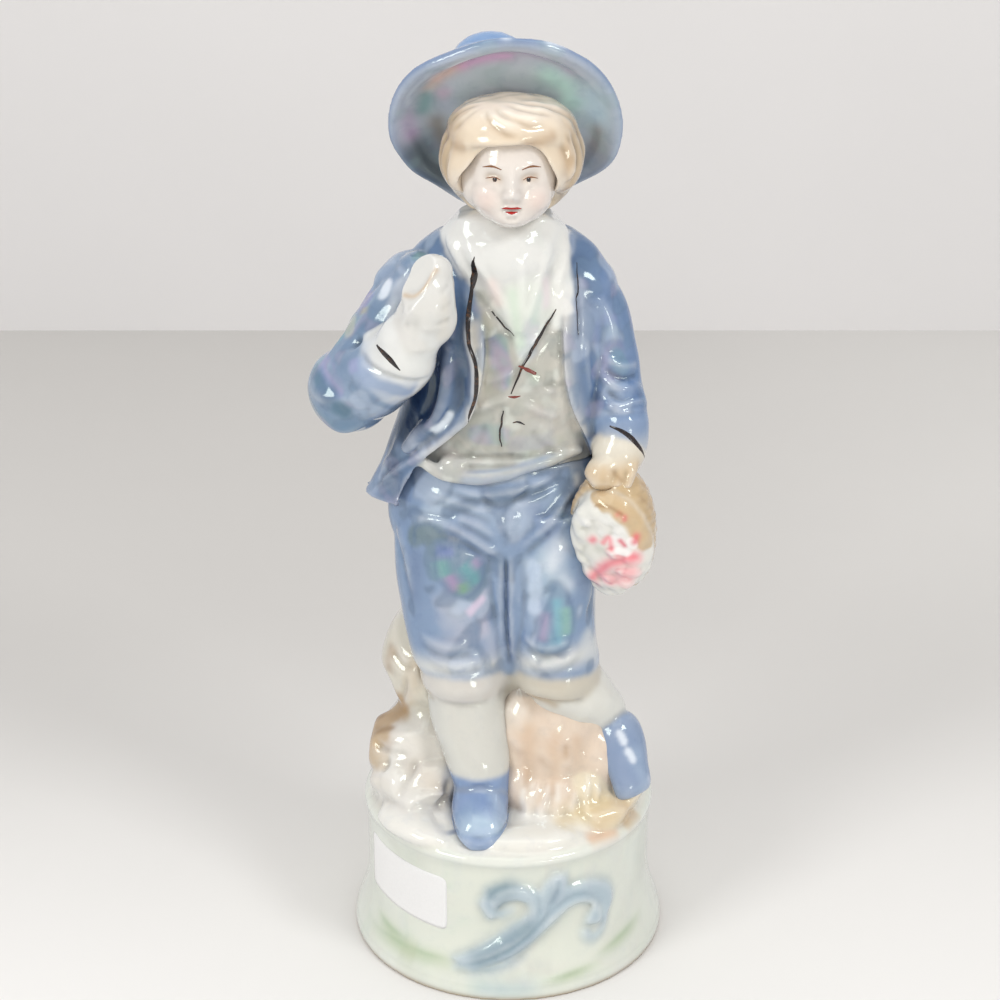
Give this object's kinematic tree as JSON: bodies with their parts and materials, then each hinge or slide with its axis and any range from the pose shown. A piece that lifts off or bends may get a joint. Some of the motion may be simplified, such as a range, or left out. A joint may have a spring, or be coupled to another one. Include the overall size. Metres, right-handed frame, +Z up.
{
  "type": "figurine",
  "caption": "Glazed porcelain figurine of a boy in a brimmed hat and open jacket, holding a basket of roses, on a round flared plinth with scroll relief.",
  "frame": {"origin": "centre of the open pour mouth under the plinth, in the plane of the foot ring that the piece stands on", "axes": "+Z up from the foot to the hat; -Y is the figure's front; +X is the figure's own left"},
  "size_m": [0.0996, 0.092, 0.2628],
  "materials": {
    "pearl_glaze": "glossy pearl lustre over white porcelain",
    "blue_glaze": "glossy blue with iridescent lustre",
    "white_glaze": "glossy white",
    "grey_glaze": "glossy pearl grey lustre",
    "face_glaze": "glossy pale skin",
    "hair_glaze": "glossy straw blond",
    "rock_glaze": "glossy white and tan",
    "straw_glaze": "glossy tan",
    "rose_glaze": "glossy pink",
    "petal_glaze": "glossy cream white"
  },
  "bodies": {
    "root": {"plinth": "pearl_glaze", "scroll_relief": "blue_glaze", "turf": "rock_glaze", "lower_rock": "rock_glaze", "upper_rock": "rock_glaze", "tree_stump": "rock_glaze", "step_rock": "rock_glaze", "right_shoe": "blue_glaze", "left_shoe": "blue_glaze", "right_stocking": "white_glaze", "left_stocking": "white_glaze", "right_knee_band": "white_glaze", "left_knee_band": "white_glaze", "breeches": "blue_glaze", "waistcoat": "grey_glaze", "shirt_front": "white_glaze", "collar": "white_glaze", "jacket": "blue_glaze", "head": "face_glaze", "hair": "hair_glaze", "hat_brim": "blue_glaze", "hat_crown": "blue_glaze", "right_hand": "white_glaze", "right_cuff": "white_glaze", "right_sleeve": "blue_glaze", "left_hand": "white_glaze", "left_cuff": "white_glaze", "left_sleeve": "blue_glaze", "basket": "straw_glaze", "leaves": "petal_glaze", "roses": "rose_glaze", "blossoms": "petal_glaze"}
  },
  "joints": []
}
